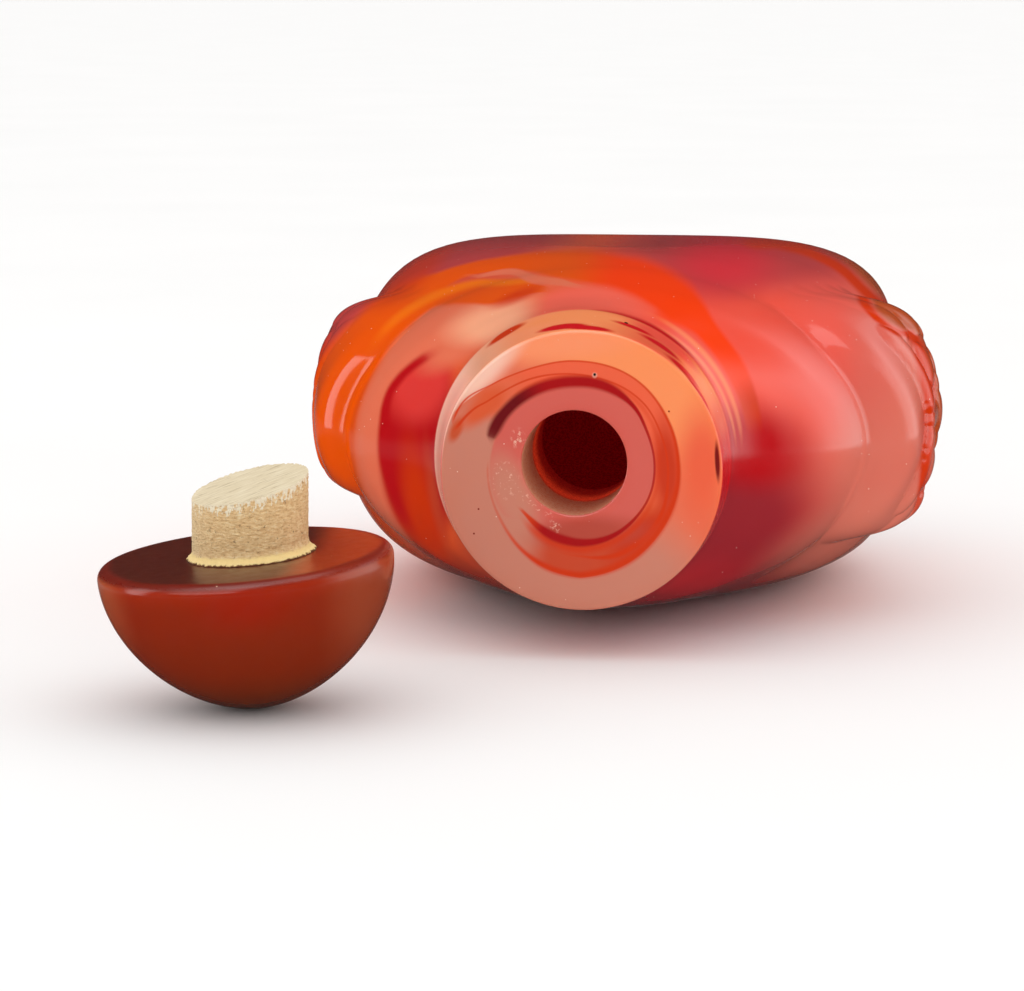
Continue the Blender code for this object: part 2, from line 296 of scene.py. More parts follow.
def outer_ring(height, inward=0.0, level=None):
    """One ring of the outside, at a height from the foot, in the bottle's own across-through-up frame."""
    level = height if level is None else level
    points = oval(WIDTH_AT(height) - inward, THICKNESS_AT(height) - inward, SQUARENESS_AT(height), COLUMNS)
    if level > 0:
        for mask in MASKS:
            on_side = points[:, 0] * mask["side"] > 0
            points[:, 0] += mask["side"] * on_side * relief(mask, points[:, 1], height)
    points += NECK_SWAY * neck_sway(height)
    most = BODY_THICKNESS / 2
    points[:, 1] = np.clip(points[:, 1], -most, most)
    return np.column_stack([points, np.full(len(points), level)])


def outer_rings():
    """Rings from the recess under the foot, up the outside, to the edge of the lip."""
    rings = [outer_ring(0.0, FOOT_RIM + FOOT_RECESS_SLOPE, FOOT_RECESS)]
    rings.append(outer_ring(0.0, FOOT_RIM + FOOT_RIM_BREAK, 0.8 * FOOT_RIM_BREAK))
    rings.append(outer_ring(0.0, FOOT_RIM - FOOT_RIM_BREAK, 0.0))
    for degrees in (0, 30, 60, 90):
        turn = math.radians(degrees)
        rings.append(outer_ring(0.0, FOOT_EDGE * (1 - math.sin(turn)), FOOT_EDGE * (1 - math.cos(turn))))
    low = MASK_CENTRE - RING_DROP - RING_RADIUS - RING_BAR
    high = MASK_CENTRE + MASK_ABOVE
    spans = (
        (FOOT_EDGE, FOOT_TOP, 8), (FOOT_TOP, low, 26), (low, high, MASK_ROWS), (high, BODY_HEIGHT, 22),
        (BODY_HEIGHT, HEIGHT - LIP_ROUND, 8),
    )
    for start, end, count in spans:
        rings += [outer_ring(start + (end - start) * k / count) for k in range(1, count + 1)]
    neck_top = HEIGHT - LIP_ROUND
    for degrees in (22.5, 45, 67.5, 90):
        turn = math.radians(degrees)
        inward = LIP_ROUND * (1 - math.cos(turn))
        rings.append(outer_ring(neck_top, inward, neck_top + LIP_ROUND * math.sin(turn)))
    return rings


def circle(radius, height, centre=(0.0, 0.0), angles=COLUMNS):
    across = centre[0] + radius * np.cos(angles)
    through = centre[1] + radius * np.sin(angles)
    return np.column_stack([across, through, np.full(len(angles), height)])


def even_angles(count):
    return 2 * math.pi * np.arange(count) / count


def round_off(share):
    """Width of a quarter circle at a share of the way up from its pole, and 1 beyond it."""
    return math.sqrt(1 - (1 - min(1.0, max(0.0, share))) ** 2)


LIP_ROWS = 10
BORE_EDGE = 0.12 * MM


def lip_rings():
    """Rings across the flat of the lip, from its rim to the edge of the bore."""
    outside = outer_ring(HEIGHT - LIP_ROUND, LIP_ROUND, HEIGHT)
    inside = circle(BORE_RADIUS + BORE_EDGE, HEIGHT, BORE_OFF_CENTRE)
    return [outside + (inside - outside) * k / LIP_ROWS for k in range(1, LIP_ROWS + 1)]


def inner_rings():
    """Rings down the bore and the cavity to its floor."""
    rings = [circle(BORE_RADIUS + 0.3 * BORE_EDGE, HEIGHT - 0.3 * BORE_EDGE, BORE_OFF_CENTRE)]
    roof = HEIGHT - BORE_LENGTH
    floor = FOOT_RECESS + BASE_WALL
    bore_rows = 10
    for k in range(bore_rows):
        height = HEIGHT - BORE_EDGE - (BORE_LENGTH - BORE_EDGE) * k / bore_rows
        rings.append(circle(BORE_RADIUS, height, BORE_OFF_CENTRE))
    hollow_rows = 24
    for k in range(hollow_rows, -1, -1):
        share = (1 - math.cos(math.pi * k / hollow_rows)) / 2
        height = floor + (roof - floor) * share
        at_floor = round_off(share / HOLLOW_FLOOR_SHARE)
        at_roof = round_off((1 - share) / HOLLOW_ROOF_SHARE)
        grown = HOLLOW_FLOOR_WIDTH + (1 - HOLLOW_FLOOR_WIDTH) * at_floor
        sizes = ((WIDTH_AT(height) - WALL) * grown, (THICKNESS_AT(height) - WALL) * grown)
        wide = oval(*sizes, SQUARENESS_AT(height), COLUMNS)
        ring = circle(BORE_RADIUS, height, BORE_OFF_CENTRE)
        ring[:, :2] += (wide - ring[:, :2]) * at_roof
        rings.append(ring)
    return rings


def added(name, data):
    """A new object in the scene."""
    made = bpy.data.objects.new(name, data)
    bpy.context.scene.collection.objects.link(made)
    return made


def skin(name, rings, place):
    """A closed mesh through rings of equal count, put in place by a matrix."""
    count = len(rings[0])
    points = np.concatenate(rings)
    turn = np.array(place.to_3x3())
    points = points @ turn.T + np.array(place.translation)
    faces = []
    for row in range(len(rings) - 1):
        a, b = row * count, (row + 1) * count
        for k in range(count):
            n = (k + 1) % count
            faces.append((a + k, a + n, b + n, b + k))
    faces.append(tuple(range(count - 1, -1, -1)))
    faces.append(tuple(range(len(points) - count, len(points))))
    mesh = bpy.data.meshes.new(name)
    mesh.from_pydata([tuple(p) for p in points], [], faces)
    mesh.update()
    mesh.shade_smooth()
    mesh.set_sharp_from_angle(angle=math.radians(50))
    return added(name, mesh)


def linear(colour):
    """Scene-linear values of a display colour given as 0 to 255."""
    shares = [value / 255 for value in colour]
    values = [s / 12.92 if s <= 0.04045 else ((s + 0.055) / 1.055) ** 2.4 for s in shares]
    return (*values, 1.0)


class Recipe:
    """One material, whose nodes are made in the order that its recipe reads."""

    def __init__(self, name):
        self.material = bpy.data.materials.new(name)
        self.material.use_nodes = True
        self.tree = self.material.node_tree
        self.shader = self.tree.nodes["Principled BSDF"]

    def node(self, kind, values=(), **settings):
        """A new node with its settings, and the values of its inputs by name or number."""
        made = self.tree.nodes.new(kind)
        for key, value in settings.items():
            setattr(made, key, value)
        for key, value in dict(values).items():
            self.feed(made.inputs[key], value)
        return made

    def feed(self, socket, value):
        """Gives a socket another node's output, a value or a colour by its name."""
        if isinstance(value, bpy.types.NodeSocket):
            self.tree.links.new(value, socket)
        else:
            socket.default_value = COLOURS[value] if isinstance(value, str) else value

    def math(self, operation, *values, clamp=False):
        made = self.node("ShaderNodeMath", enumerate(values), operation=operation, use_clamp=clamp)
        return made.outputs[0]

    def times(self, first, *others):
        for other in others:
            first = self.math("MULTIPLY", first, other)
        return first

    def plus(self, first, *others):
        for other in others:
            first = self.math("ADD", first, other)
        return first

    def minus(self, first, second):
        return self.math("SUBTRACT", first, second)

    def vector(self, operation, *values):
        made = self.node("ShaderNodeVectorMath", enumerate(values), operation=operation)
        return made.outputs["Value" if operation in ("LENGTH", "DISTANCE", "DOT_PRODUCT") else "Vector"]

    def scaled(self, vector, scale):
        made = self.node("ShaderNodeVectorMath", {0: vector, "Scale": scale}, operation="SCALE")
        return made.outputs["Vector"]

    def place_mm(self, origin=(0, 0, 0)):
        """Place in the model, in millimetres from an origin given in metres."""
        place = self.node("ShaderNodeTexCoord").outputs["Object"]
        return self.scaled(self.vector("SUBTRACT", place, tuple(origin)), 1 / MM)

    def parts(self, vector):
        return self.node("ShaderNodeSeparateXYZ", {0: vector}).outputs[:]

    def joined(self, x, y, z):
        return self.node("ShaderNodeCombineXYZ", enumerate((x, y, z))).outputs[0]

    def soft(self, value, start, end, low=0.0, high=1.0):
        """A smooth rise from low to high as the value goes from start to end."""
        values = {"Value": value, "From Min": start, "From Max": end, "To Min": low, "To Max": high}
        return self.node("ShaderNodeMapRange", values, interpolation_type="SMOOTHSTEP").outputs["Result"]

    def mix(self, share, first, second):
        made = self.node("ShaderNodeMix", data_type="RGBA")
        self.feed(made.inputs["Factor"], share)
        colours = [socket for socket in made.inputs if socket.type == "RGBA"]
        self.feed(colours[0], first)
        self.feed(colours[1], second)
        return next(socket for socket in made.outputs if socket.type == "RGBA")

    def noise(self, place, scale, detail=3.0, roughness=0.5):
        values = {"Vector": place, "Scale": scale, "Detail": detail, "Roughness": roughness}
        return self.node("ShaderNodeTexNoise", values).outputs["Fac"]

    def wander(self, place, scale, amount, detail=2.0):
        """The place moved about by a smooth noise of the given amount."""
        made = self.node("ShaderNodeTexNoise", {"Vector": place, "Scale": scale, "Detail": detail})
        centred = self.vector("SUBTRACT", made.outputs["Color"], (0.5, 0.5, 0.5))
        return self.vector("ADD", place, self.scaled(centred, amount))

    def curve(self, value, points):
        """A smooth curve through points whose places and values lie between 0 and 1."""
        made = self.node("ShaderNodeFloatCurve", {"Value": value})
        line = made.mapping.curves[0]
        while len(line.points) < len(points):
            line.points.new(0.5, 0.5)
        for point, (place, height) in zip(line.points, sorted(points)):
            point.location = (place, height)
            point.handle_type = "AUTO_CLAMPED"
        made.mapping.update()
        return made.outputs[0]

    def ramp(self, value, stops):
        """Named colours along a value from 0 to 1, eased between stops."""
        made = self.node("ShaderNodeValToRGB", {0: value})
        made.color_ramp.interpolation = "EASE"
        elements = made.color_ramp.elements
        while len(elements) < len(stops):
            elements.new(0.5)
        for element, (place, colour) in zip(elements, stops):
            element.position = place
            element.color = COLOURS[colour]
        return made.outputs["Color"]

    def tint(self, base, colour, value, start, end, strength=1.0):
        """Mixes in a colour, more of it as the value goes from start to end."""
        return self.mix(self.soft(value, start, end, 0.0, strength), base, colour)

    def dust(self, place, base, colour, spacing, size, share):
        """Fine specks of a colour, in a share of the cells of a scattered grid."""
        cells = self.node("ShaderNodeTexVoronoi", {"Vector": place, "Scale": 1 / spacing})
        near = self.soft(cells.outputs["Distance"], size / spacing, 0.5 * size / spacing)
        chosen = self.math("LESS_THAN", self.parts(cells.outputs["Color"])[0], share)
        return self.mix(self.times(near, chosen), base, colour)

    def surface(self, **values):
        """Feeds inputs of the material's shader, with _ for each space in their names."""
        for name, value in values.items():
            self.feed(self.shader.inputs[name.replace("_", " ")], value)

    def see_into(self, weight, radius, scale):
        """Lets light travel under the surface, the same all over, with a quartz stone's refraction."""
        self.surface(Subsurface_Weight=weight, Subsurface_Radius=radius, Subsurface_Scale=scale, IOR=QUARTZ)

    def bump(self, height, strength, distance):
        values = {"Strength": strength, "Distance": distance, "Height": height}
        self.surface(Normal=self.node("ShaderNodeBump", values).outputs["Normal"])


# The most that a band's radius and half width can be, in millimetres
REACH = 24.0
WIDEST = 4.0

# How far red, green and blue light travel in the stone, its refraction, and the half sizes of a speck
RED_LIGHT = (1.0, 0.4, 0.25)
QUARTZ = 1.54
SPECK = (0.06, 0.06)

# Colours of the stones, the cork and the floor, as displayed
COLOURS = {
    "orange": (236, 84, 0), "bright orange": (252, 62, 0), "yellow orange": (243, 112, 8),
    "red orange": (214, 54, 4), "brown orange": (206, 84, 46), "salmon": (234, 116, 84),
    "peach": (252, 170, 132), "light orange": (255, 148, 92), "coral": (240, 100, 66),
    "coral red": (226, 58, 52), "deep coral": (206, 74, 42), "coral pink": (242, 84, 66),
    "pink": (236, 92, 78), "haze pink": (222, 102, 88), "pale pink": (252, 200, 178),
    "inner rose": (216, 98, 86), "inner brown": (188, 76, 60), "arc pink": (250, 104, 84),
    "dark orange": (206, 56, 22), "burnt orange": (224, 92, 50), "warm peach": (255, 150, 104),
    "rose crimson": (214, 50, 60), "mauve": (190, 66, 66), "dusty rose": (208, 132, 110),
    "rose beige": (222, 116, 98), "rose brown": (226, 128, 108), "crimson": (190, 8, 18),
    "dark crimson": (112, 2, 10), "ring crimson": (172, 2, 8), "lens crimson": (214, 12, 24),
    "plum": (158, 40, 48), "red plum": (196, 44, 52), "maroon": (124, 14, 10), "red brown": (170, 48, 26),
    "tan": (186, 78, 34), "black": (20, 10, 8), "chalk": (250, 226, 206), "chip": (240, 188, 166),
    "bore beige": (214, 148, 112), "bore stain": (222, 74, 36), "dark stain": (176, 38, 18),
    "painted near glow": (130, 32, 12), "painted deep glow": (42, 0, 1), "dome rim": (162, 40, 8),
    "dome red": (142, 38, 10), "dome brown": (134, 40, 12), "dome top": (118, 48, 18),
    "left sheen": (182, 92, 56), "right sheen": (160, 76, 46), "rim glow": (160, 28, 2),
    "flat brown": (92, 24, 4), "flat middle": (92, 26, 4), "flat orange": (172, 54, 2),
    "flat bright": (178, 56, 2), "flat red": (150, 16, 2), "flat rim": (128, 28, 8),
    "pale dust": (226, 190, 160), "brown dust": (196, 160, 128), "cork shade": (168, 126, 76),
    "cork tan": (226, 184, 128), "cork": (240, 206, 152), "cork light": (252, 230, 186),
    "painted cork sheen": (246, 222, 176), "cork pore": (128, 88, 50), "cork strand": (248, 234, 204),
    "glue": (255, 224, 152), "glue edge": (112, 62, 16), "cut shade": (176, 152, 112),
    "cut tan": (220, 202, 166), "cut light": (234, 220, 190), "floor shade": (247, 246, 245),
    "floor light": (250, 249, 248),
}
COLOURS = {name: linear(colour) for name, colour in COLOURS.items()}

# Bands of the stone seen from in front of the mouth. Each row is a direction in degrees, turning left from
# the right-hand side, then the radius and half width in millimetres and how strongly the band shows where
# that isn't fully. A full turn ends at the first row
ORANGE_ARC = (
    (-90, 18, 2, 0), (-60, 12, 1, 0), (-6, 10.6, 0.5, 0), (10, 10.9, 0.5, 0.6), (22, 11, 0.55),
    (33, 11.05, 0.6), (45, 11.1, 0.55), (55, 11.25, 0.8), (66, 11.2, 1.05), (78, 11.3, 0.95),
    (90, 11.55, 0.7), (104, 12.1, 0.62), (114, 12.85, 0.5), (125, 14, 0.42), (131, 14.8, 0.42),
    (138, 15.7, 0.55), (144, 16.3, 1.1), (150, 16.95, 1.45), (156, 17.7, 1.7), (163, 18.4, 2.1),
    (172, 19.2, 2.4), (182, 19.6, 2.6), (200, 19.4, 2.6),
)
SECOND_BAND = (
    (-90, 17, 0.5, 0), (103, 10.9, 0.1, 0), (111, 11.35, 0.2, 0.9), (121, 12.1, 0.5), (127, 12.6, 0.6),
    (133, 13.5, 0.56), (139, 14.6, 0.56), (145, 15.6, 0.6), (156, 16.5, 0.5, 0.6), (168, 17, 0.5, 0),
)
SALMON_BAND = (
    (-90, 17, 1, 0), (108, 9.9, 0.5, 0), (118, 10.5, 0.9, 0.9), (126, 10.95, 1.1), (134, 11.85, 1.3),
    (140, 12.8, 1.4), (145, 13.7, 1.4), (150, 14.25, 1.25), (156, 14.9, 1.15), (167, 15.65, 0.85),
    (174, 15.8, 1.05), (182, 15.9, 1.15), (192, 15.85, 1.3), (206, 15.9, 1.3, 0.9), (222, 16.4, 1.2, 0.5),
)
CRIMSON_EDGE = (
    (-90, 15, 0.4, 0), (144, 12.4, 0.3, 0), (151, 13, 0.3, 0.5), (156, 13.6, 0.3), (161, 14.15, 0.3),
    (167, 14.5, 0.3), (174, 14.4, 0.35), (186, 14.3, 0.45, 0.9), (201, 14.2, 0.6, 0.6), (216, 14.2, 0.6, 0),
)
YELLOW_LINE = (
    (-90, 18, 0.3, 0), (104, 11.2, 0.1, 0), (114, 11.95, 0.12, 0.5), (123, 12.7, 0.15), (132, 13.95, 0.22),
    (138, 14.75, 0.25), (146, 15.9, 0.3), (156, 17, 0.3, 0.5), (168, 17.6, 0.3, 0),
)
PINK_LINE = (
    (-90, 12, 0.2, 0), (88, 10.7, 0.1, 0), (97, 10.9, 0.1, 0.8), (104, 11.3, 0.16), (112, 11.85, 0.2),
    (121, 13.05, 0.18), (130, 14.1, 0.12, 0.8), (138, 15.1, 0.1, 0),
)
STREAKS = (
    (-90, 10.1, 0.1, 0), (0, 9.95, 0.06, 0), (14, 10.05, 0.1, 0.4), (40, 10.15, 0.13, 0.6),
    (60, 10.2, 0.09, 0.4), (76, 10.2, 0.06, 0),
)
INNER_STREAKS = (
    (-90, 9.8, 0.06, 0), (0, 9.62, 0.05, 0), (15, 9.66, 0.07, 0.4), (38, 9.74, 0.09, 0.5),
    (58, 9.82, 0.06, 0.3), (72, 9.9, 0.05, 0),
)
RIGHT_EDGE = (
    (-90, 24), (-22, 23.4), (-8, 22.5), (0, 22.25), (8, 22.45), (14, 22.2), (17, 22.05), (20, 21.2),
    (23, 20.4), (28, 19.8), (34, 19.15), (39, 18.35), (47, 16.9), (54, 15.75), (61, 14.9), (72, 14.2),
    (82, 16), (95, 24),
)
PINK_ARC = (
    (-90, 10, 0.4, 0), (56, 10.3, 0.2, 0), (68, 10.25, 0.3, 0.6), (80, 10.3, 0.42, 0.9), (90, 10.35, 0.5),
    (106, 10.4, 0.5, 0.9), (120, 10.3, 0.4, 0),
)
RED_LINE = (
    (-90, 10, 0.1, 0), (36, 9.6, 0.06, 0), (56, 9.68, 0.09), (70, 9.72, 0.13), (86, 9.76, 0.12),
    (98, 9.8, 0.06, 0),
)
RIGHT_VEIN = (
    (-90, 22, 0.2, 0), (-28, 22, 0.2, 0.2), (-12, 21.9, 0.25, 0.8), (0, 21.9, 0.4), (8, 22.1, 0.42),
    (14, 21.95, 0.36), (17, 21.75, 0.26), (20, 20.85, 0.22), (23, 20.1, 0.24), (28, 19.45, 0.24),
    (34, 18.8, 0.22), (39, 18, 0.2), (47, 16.55, 0.18, 0.9), (55, 15.15, 0.15, 0.7), (66, 14.2, 0.12, 0),
)

# Bands of the lip's face
FACE_EDGE = (
    (-90, 6.9), (-60, 6.6), (-30, 6.4), (0, 6.33), (30, 6.5), (60, 6.95), (95, 7.12), (118, 7.35),
    (135, 7.9), (145, 8.35), (152, 8.75), (158, 9), (163, 8.4), (168, 6.6), (180, 6.05), (210, 6.1),
    (240, 6.55),
)
FACE_LINE = (
    (-90, 6.72, 0.2), (-60, 6.45, 0.24), (-30, 6.24, 0.22), (0, 6.24, 0.14), (30, 6.46, 0.09, 0.9),
    (60, 6.93, 0.06, 0.8), (95, 7.1, 0.055, 0.8), (118, 7.33, 0.05, 0.8), (135, 7.88, 0.05, 0.8),
    (156, 8.85, 0.06, 0.9), (162, 8.8, 0.05, 0), (172, 6.1, 0.05, 0), (182, 6.03, 0.06, 0.7),
    (210, 6.08, 0.08, 0.8), (235, 6.4, 0.13), (252, 6.6, 0.2),
)
MIDDLE_RING = (
    (-90, 5.5, 0.07, 0.5), (-60, 5.87, 0.16), (-34, 5.87, 0.14), (0, 5.57, 0.07, 0.9),
    (25, 5.65, 0.06, 0.8), (50, 6, 0.055, 0.8), (90, 6.2, 0.055, 0.7), (118, 6.68, 0.06, 0.8),
    (143, 7.42, 0.06, 0.8), (151, 7.95, 0.07, 0.9), (160, 8.4, 0.1, 0.9), (165, 8.6, 0.1, 0),
    (200, 8.6, 0.1, 0), (240, 5.4, 0.07, 0),
)
CRIMSON_RING = (
    (-90, 4.62, 0.26), (-70, 4.62, 0.18), (-45, 4.6, 0.1, 0.9), (-20, 4.66, 0.07, 0.8),
    (10, 4.74, 0.07, 0.8), (32, 4.95, 0.09, 0.9), (52, 5.42, 0.14), (75, 5.72, 0.32), (100, 5.78, 0.36),
    (122, 5.95, 0.36), (140, 6.12, 0.36), (152, 6.2, 0.4), (160, 6.2, 0.3, 0.9), (166, 6, 0.1, 0),
    (208, 4.8, 0.1, 0), (215, 4.6, 0.1, 0.7), (230, 4.52, 0.2), (250, 4.56, 0.3),
)
CRIMSON_SHADE = (
    (-90, 5, 0.32, 0.8), (-62, 4.95, 0.25, 0.8), (-30, 4.95, 0.15, 0.5), (0, 5, 0.1, 0.3),
    (60, 5.9, 0.15, 0.4), (90, 6.1, 0.12, 0.5), (120, 6.3, 0.12, 0.5), (150, 6.5, 0.12, 0),
    (212, 4.9, 0.1, 0), (240, 4.9, 0.3, 0.8),
)
INNER_EDGE = (
    (-90, 4.4), (-45, 4.5), (0, 4.7), (32, 4.9), (52, 5.35), (75, 5.5), (100, 5.55), (122, 5.7), (150, 5.9),
    (180, 5.9), (210, 5.8), (225, 4.7),
)


def lay(way, base, rows):
    """Lays rows of patches, bands or tints over a base, one after another."""
    for row in rows:
        base = way(base, *row)
    return base


class Stone(Recipe):
    """Agate, with bands that wrap round an axis through the middle of the lip."""

    def __init__(self, name, drift):
        super().__init__(name)
        self.straight = self.place_mm(LIP)
        _, self.depth, _ = self.parts(self.straight)
        # The bands wander more, the further they are from the mouth
        amount = self.soft(self.depth, 30.0, 55.0, 0.3, drift)
        moved = self.wander(self.straight, 0.09, amount, 1.5)
        self.across, _, self.up = self.parts(moved)
        self.flat = self.joined(self.across, self.up, 0.0)
        self.radius = self.vector("LENGTH", self.flat)
        turned = self.math("ARCTAN2", self.up, self.across)
        # The turn is counted from straight down, where no band begins or ends
        self.turn = self.math("FRACT", self.plus(self.math("DIVIDE", turned, 2 * math.pi), 0.25))

    def round_curve(self, rows, column, scale):
        """A column of a band's rows, all the way round the axis and back to where it began."""
        points = [((row[0] + 90) / 360, row[column] / scale) for row in rows]
        points.append((1.0, points[0][1]))
        return self.times(self.curve(self.turn, points), scale)

    def band(self, base, colour, rows, soft=0.4):
        """Lays a band of a colour over the base, along a curve round the axis."""
        rows = [(*row, 1)[:4] for row in rows]
        off = self.math("ABSOLUTE", self.minus(self.radius, self.round_curve(rows, 1, REACH)))
        share = self.math("DIVIDE", off, self.round_curve(rows, 2, WIDEST))
        shown = self.soft(share, 1 + soft, 1 - soft)
        shown = self.times(shown, self.round_curve(rows, 3, 1.0))
        return self.mix(shown, base, colour)

    def within(self, rows, soft):
        """1 inside a curve round the axis and 0 outside it."""
        off = self.minus(self.radius, self.round_curve(rows, 1, REACH))
        return self.soft(off, soft, -soft)

    def oval(self, centre, half, turn, soft):
        """1 in an oval with a soft edge, with its place and half sizes in millimetres."""
        turned = (0, 0, math.radians(turn))
        values = {"Vector": self.flat, "Location": (*centre, 0), "Rotation": turned, "Scale": (*half, 1)}
        made = self.node("ShaderNodeMapping", values, vector_type="TEXTURE")
        return self.soft(self.vector("LENGTH", made.outputs[0]), 1 + soft, 1 - soft)

    def patch(self, base, colour, centre, half, turn=0.0, soft=0.6, strength=1.0):
        """Lays a soft oval of a colour over the base."""
        shown = self.times(self.oval(centre, half, turn, soft), strength)
        return self.mix(shown, base, colour)

    def chips(self, base, colour, centre, half, turn, rarity):
        """Breaks an oval up into small bright chips."""
        grain = self.noise(self.straight, 3.4, 3, 0.6)
        bright = self.soft(grain, rarity, rarity + 0.14, 0.0, 0.85)
        return self.mix(self.times(self.oval(centre, half, turn, 0.5), bright), base, colour)

    def side_patch(self, base, colour, centre, half, soft=0.5, strength=1.0):
        """A soft oval on the side of the neck. Its centre and half sizes are in degrees and millimetres."""
        around = self.minus(self.turn, (centre[0] + 90) / 360)
        around = self.math("DIVIDE", around, half[0] / 360)
        along = self.math("DIVIDE", self.minus(self.depth, centre[1]), half[1])
        share = self.vector("LENGTH", self.joined(around, along, 0.0))
        return self.tint(base, colour, share, 1 + soft, 1 - soft, strength)

    def round_ramp(self, stops):
        """Colours round the axis, with their directions in degrees from -90 to 270."""
        return self.ramp(self.turn, [((degrees + 90) / 360, name) for degrees, name in stops])


def body_colour(stone):
    """Colours of the bottle's body, from the outside in."""
    share = stone.math("DIVIDE", stone.plus(stone.across, 22.0), 44.0, clamp=True)
    base = stone.ramp(share, (
        (0.0, "red orange"), (0.2, "orange"), (0.4, "coral"), (0.58, "coral pink"),
        (0.74, "coral pink"), (0.84, "pink"), (0.91, "haze pink"), (1.0, "rose beige"),
    ))
    base = lay(stone.patch, base, (
        ("rose beige", (19, -3.5), (4.5, 5.5)),
        ("rose brown", (15.5, -9.5), (9, 4.2), 22),
        ("plum", (9, -4.8), (5.6, 6.4), -16, 0.5),
        ("red plum", (4.5, -10.5), (7, 3.5)),
        ("crimson", (10.6, 0.8), (3, 2.3), -24),
        ("rose brown", (16.5, -8.2), (5, 3.4), 20, 0.6, 0.7),
        ("mauve", (9, 12.6), (10, 2.3), -6, 0.4),
        ("rose crimson", (7.5, 11.9), (3.2, 1.6), -10, 0.7),
        ("mauve", (-11, 14.2), (14, 3.8), 14, 0.25),
        ("mauve", (-19.6, 8), (2.4, 3), 40, 0.6, 0.9),
        ("red brown", (-10, -10.5), (9, 3.6), -14),
        ("crimson", (-11.8, 0.6), (3.3, 6.8), 0, 0.22),
        ("coral red", (-11.6, 4.4), (2.6, 2.1), 38, 0.45),
        ("salmon", (-9, 7.2), (2.8, 1), 30),
        ("red orange", (-11.5, -4.2), (1.3, 4.4), 8),
        ("deep coral", (-10.3, -3), (0.45, 3.2), 8, 0.8, 0.7),
    ))
    base = stone.band(base, "salmon", SALMON_BAND, soft=0.25)
    base = stone.patch(base, "peach", (-6.8, 8.7), (3.0, 1.0), turn=14, soft=0.6)
    base = stone.band(base, "crimson", CRIMSON_EDGE, soft=0.8)
    arc = stone.round_ramp((
        (-8, "crimson"), (6, "crimson"), (18, "red orange"), (32, "bright orange"), (84, "bright orange"),
        (104, "orange"), (270, "orange"),
    ))
    base = stone.band(base, arc, ORANGE_ARC, soft=0.3)
    base = stone.patch(base, "red orange", (-15.0, 10.2), (2.4, 1.0), turn=36, soft=0.7, strength=0.7)
    base = lay(stone.band, base, (
        ("orange", SECOND_BAND, 0.3),
        ("yellow orange", YELLOW_LINE, 0.9),
        ("salmon", PINK_LINE, 0.5),
    ))
    base = stone.patch(base, "red orange", (-5.6, 10.1), (1.5, 0.3), turn=20, soft=0.7, strength=0.8)
    base = lay(stone.band, base, (
        ("arc pink", PINK_ARC, 0.6),
        ("crimson", RED_LINE, 0.6),
        ("light orange", STREAKS, 0.9),
        ("light orange", INNER_STREAKS, 0.9),
    ))
    base = stone.mix(stone.within(RIGHT_EDGE, -0.25), base, "tan")
    return stone.band(base, "red orange", RIGHT_VEIN, soft=0.6)


